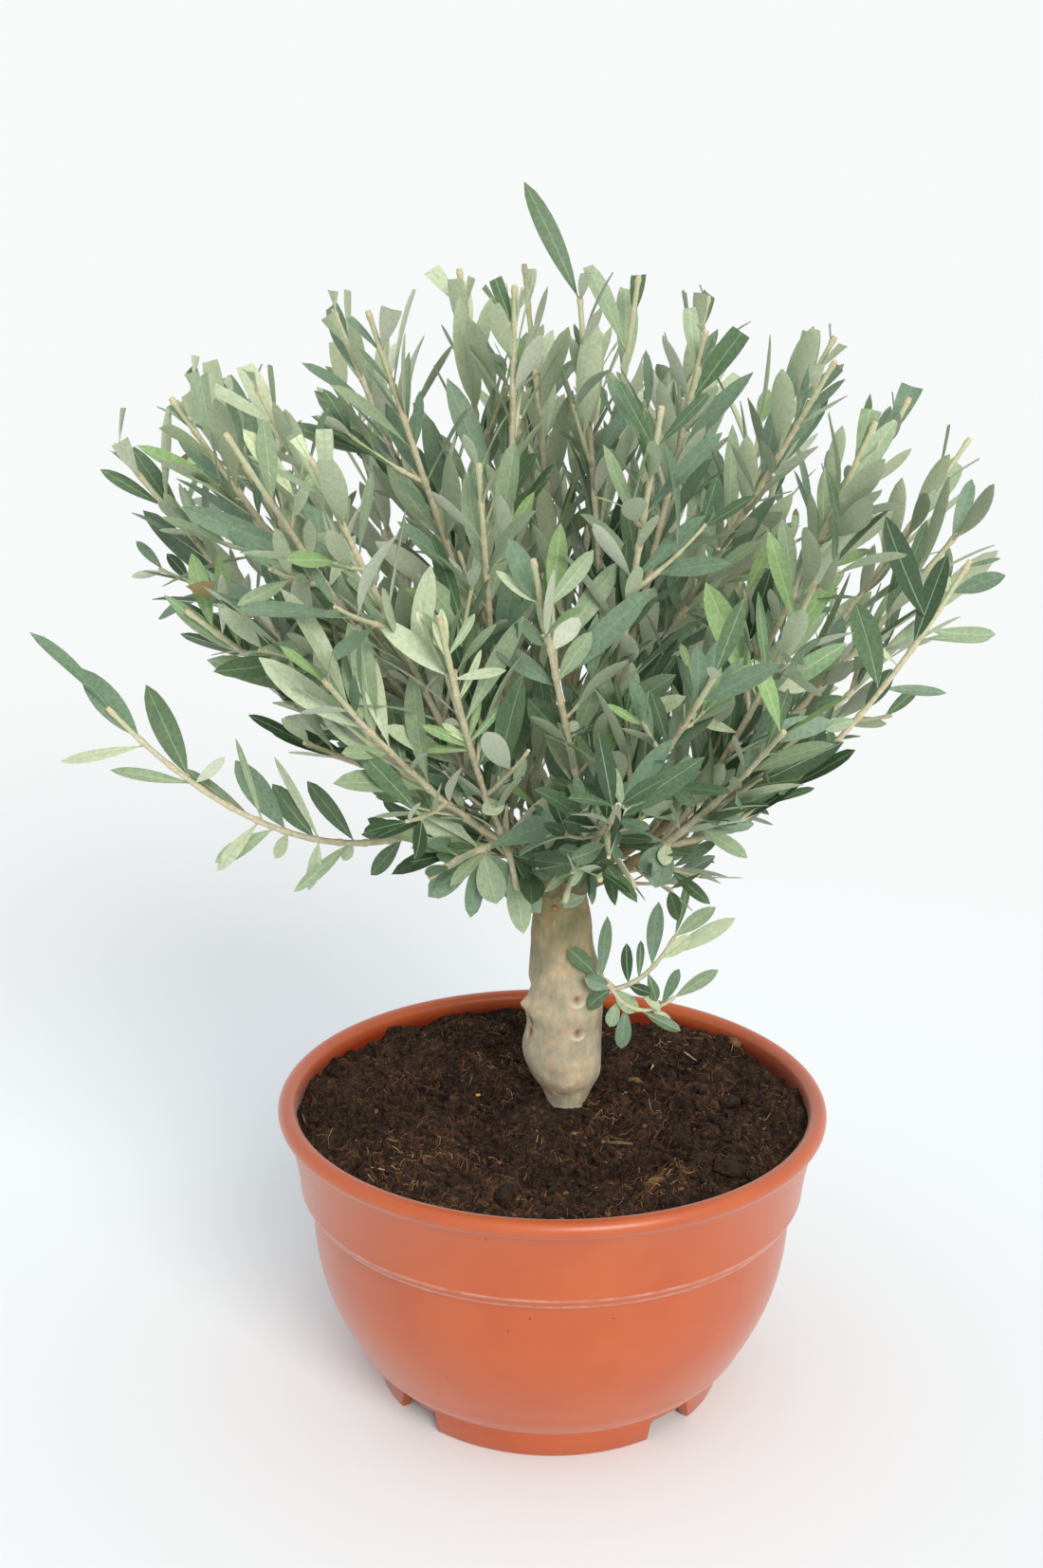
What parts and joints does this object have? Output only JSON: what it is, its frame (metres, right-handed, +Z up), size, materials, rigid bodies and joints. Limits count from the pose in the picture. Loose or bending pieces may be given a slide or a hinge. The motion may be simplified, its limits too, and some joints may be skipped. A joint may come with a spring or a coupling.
{
  "type": "potted olive tree",
  "caption": "Young olive tree with a stout pale trunk and a clipped round crown of narrow grey-green leaves, in a wide round plastic pot filled with soil.",
  "frame": {"origin": "on the ground under the middle of the pot", "axes": "+Z up the tree, -Y towards its front, where the low left shoot is on the left (-X)"},
  "size_m": [0.4184, 0.3635, 0.55],
  "materials": {
    "pot": "satin",
    "soil": "matt, rough",
    "bark": "matt, smooth young bark",
    "foliage": "satin"
  },
  "bodies": {
    "root": {"pot": "pot", "soil": "soil", "trunk": "bark", "bough_left": "bark", "bough_left_front": "bark", "bough_front_left": "bark", "bough_front": "bark", "bough_front_right": "bark", "bough_right": "bark", "bough_right_back": "bark", "bough_back_right": "bark", "bough_back": "bark", "bough_back_left": "bark", "bough_top_left": "bark", "bough_top_right": "bark", "bough_top_back": "bark", "bough_low_left": "bark", "foliage_left": "foliage", "foliage_left_front": "foliage", "foliage_front_left": "foliage", "foliage_front": "foliage", "foliage_front_right": "foliage", "foliage_right": "foliage", "foliage_right_back": "foliage", "foliage_back_right": "foliage", "foliage_back": "foliage", "foliage_back_left": "foliage", "foliage_top_left": "foliage", "foliage_top_right": "foliage", "foliage_top_back": "foliage", "foliage_low_left": "foliage", "foliage_water_shoot": "foliage"}
  },
  "joints": []
}
